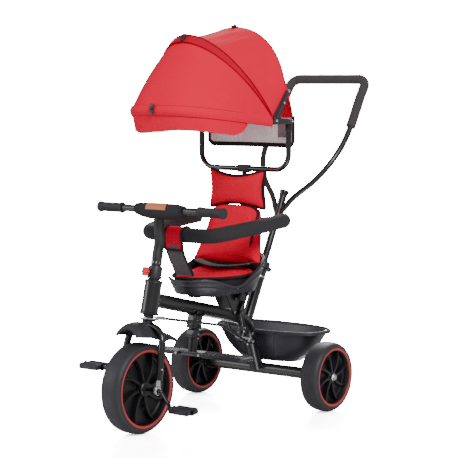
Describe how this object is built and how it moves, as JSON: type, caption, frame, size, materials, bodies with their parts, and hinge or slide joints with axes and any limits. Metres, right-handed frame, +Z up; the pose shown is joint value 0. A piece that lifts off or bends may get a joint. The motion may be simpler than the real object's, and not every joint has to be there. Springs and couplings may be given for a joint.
{
  "type": "tricycle",
  "caption": "Child's push tricycle with pedal front wheel, steering parent handle, padded seat, guard ring, folding canopy, footrests and rear basket.",
  "frame": {"origin": "on the ground, under the middle of the bounding box", "axes": "+Z up, -Y the way the rider faces, +X the rider's left"},
  "size_m": [0.548, 1.0724, 1.1155],
  "materials": {
    "frame_paint": "satin",
    "fork_paint": "gloss",
    "plated_steel": "polished",
    "zinc_steel": "satin",
    "shell_plastic": "satin",
    "wheel_plastic": "satin",
    "tyre_foam": "matte",
    "grip_rubber": "matte",
    "knob_plastic": "gloss",
    "cushion_fabric": "matte",
    "canopy_fabric": "matte",
    "strap_mesh": "matte",
    "ring_foam": "matte",
    "pad_leather": "matte"
  },
  "bodies": {
    "frame": {"head_tube": "frame_paint", "head_bush_lower": "shell_plastic", "head_bush_upper": "shell_plastic", "main_tube": "frame_paint", "handle_sleeve": "frame_paint", "sleeve_clamp": "shell_plastic", "rear_axle_tube": "frame_paint", "rear_axle": "plated_steel", "axle_nut": "plated_steel", "seat_bracket": "frame_paint", "seat_shell": "shell_plastic", "seat_cushion": "cushion_fabric", "back_cushion": "cushion_fabric", "headrest_cushion": "cushion_fabric", "back_frame": "frame_paint", "canopy_frame": "frame_paint", "canopy_hinge_left": "shell_plastic", "canopy_hinge_right": "shell_plastic", "canopy_rear_bow": "shell_plastic", "canopy_rear_panel": "canopy_fabric", "basket": "shell_plastic", "footrest_post": "frame_paint", "footrest_beam": "frame_paint"},
    "seat_lever": {"seat_lever": "shell_plastic"},
    "steering": {"steerer": "frame_paint", "steering_lever": "zinc_steel", "fork_legs": "fork_paint", "dropout_left": "plated_steel", "dropout_right": "plated_steel", "fender": "shell_plastic", "stem_collar": "shell_plastic", "stem": "frame_paint", "handlebar": "frame_paint", "grip_left": "grip_rubber", "grip_right": "grip_rubber", "bar_pad": "pad_leather"},
    "knob": {"clutch_knob": "knob_plastic"},
    "front_wheel": {"front_tyre": "tyre_foam", "front_rim": "wheel_plastic"},
    "crank": {"crank": "plated_steel"},
    "pedal_left": {"pedal_left": "shell_plastic"},
    "pedal_right": {"pedal_right": "shell_plastic"},
    "rear_wheel_left": {"rear_tyre_left": "tyre_foam", "rear_rim_left": "wheel_plastic"},
    "rear_wheel_right": {"rear_tyre_right": "tyre_foam", "rear_rim_right": "wheel_plastic"},
    "footrest_left": {"footrest_left": "shell_plastic"},
    "footrest_right": {"footrest_right": "shell_plastic"},
    "guard_ring": {"guard_tube": "frame_paint", "guard_foam": "ring_foam", "crotch_strap": "strap_mesh"},
    "canopy_mid": {"canopy_mid_bow": "shell_plastic"},
    "canopy_front": {"canopy_front_bow": "shell_plastic", "canopy_front_panel": "canopy_fabric", "canopy_visor": "canopy_fabric"},
    "push_handle": {"handle_shaft": "frame_paint", "handle_lever": "zinc_steel", "handle_arms": "frame_paint", "handle_grip": "ring_foam"},
    "link": {"link_rod": "frame_paint"}
  },
  "joints": [
    {"name": "steer", "type": "hinge", "parent": "frame", "child": "steering", "pos_m": [0, -0.41123, 0.125], "axis": [0, 0.2334, 0.9724], "range_deg": [-35, 35]},
    {"name": "handle_steer", "type": "hinge", "parent": "frame", "child": "push_handle", "pos_m": [0, 0.05794, 0.19392], "axis": [0, 0.4587, 0.8886], "range_deg": [-35, 35]},
    {"name": "link_swing", "type": "hinge", "parent": "steering", "child": "link", "pos_m": [0.028, -0.36536, 0.31607], "axis": [0, 0.2334, 0.9724], "range_deg": [-35, 35]},
    {"name": "front_wheel_spin", "type": "hinge", "parent": "steering", "child": "front_wheel", "pos_m": [0, -0.41123, 0.125], "axis": [1, 0, 0], "continuous": true},
    {"name": "crank_spin", "type": "hinge", "parent": "steering", "child": "crank", "pos_m": [0, -0.41123, 0.125], "axis": [1, 0, 0], "continuous": true},
    {"name": "pedal_left_spin", "type": "hinge", "parent": "crank", "child": "pedal_left", "pos_m": [0.115, -0.37802, 0.07205], "axis": [1, 0, 0], "continuous": true},
    {"name": "pedal_right_spin", "type": "hinge", "parent": "crank", "child": "pedal_right", "pos_m": [-0.115, -0.44444, 0.17794], "axis": [1, 0, 0], "continuous": true},
    {"name": "rear_left_spin", "type": "hinge", "parent": "frame", "child": "rear_wheel_left", "pos_m": [0.24, 0.15627, 0.1016], "axis": [1, 0, 0], "continuous": true},
    {"name": "rear_right_spin", "type": "hinge", "parent": "frame", "child": "rear_wheel_right", "pos_m": [-0.24, 0.15627, 0.1016], "axis": [1, 0, 0], "continuous": true},
    {"name": "clutch_knob_turn", "type": "hinge", "parent": "steering", "child": "knob", "pos_m": [-0.006, -0.35741, 0.43912], "axis": [-0.309, -0.9248, 0.222], "range_deg": [0, 90]},
    {"name": "footrest_left_fold", "type": "hinge", "parent": "frame", "child": "footrest_left", "pos_m": [0.041, -0.17073, 0.19], "axis": [0, -1, 0], "range_deg": [0, 80]},
    {"name": "footrest_right_fold", "type": "hinge", "parent": "frame", "child": "footrest_right", "pos_m": [-0.041, -0.17073, 0.19], "axis": [0, 1, 0], "range_deg": [0, 80]},
    {"name": "guard_lift", "type": "hinge", "parent": "frame", "child": "guard_ring", "pos_m": [0, 0.07127, 0.562], "axis": [-1, 0, 0], "range_deg": [0, 60]},
    {"name": "canopy_mid_fold", "type": "hinge", "parent": "frame", "child": "canopy_mid", "pos_m": [0, -0.00873, 0.849], "axis": [-1, 0, 0], "range_deg": [0, 38], "deforming": ["canopy_rear_panel"]},
    {"name": "canopy_front_fold", "type": "hinge", "parent": "canopy_mid", "child": "canopy_front", "pos_m": [0, -0.00873, 0.849], "axis": [-1, 0, 0], "range_deg": [0, 34], "deforming": ["canopy_front_panel"]},
    {"name": "seat_lever_press", "type": "hinge", "parent": "frame", "child": "seat_lever", "pos_m": [0, 0.00427, 0.3495], "axis": [1, 0, 0], "range_deg": [0, 2.2], "stiffness_Nm_per_rad": 8, "springref_deg": -1.72}
  ],
  "couplings": [
    {"joint": "handle_steer", "follows": "steer", "ratio": 1},
    {"joint": "link_swing", "follows": "steer", "ratio": -1},
    {"joint": "crank_spin", "follows": "front_wheel_spin", "ratio": 1},
    {"joint": "canopy_front_fold", "follows": "canopy_mid_fold", "ratio": 0.89}
  ]
}
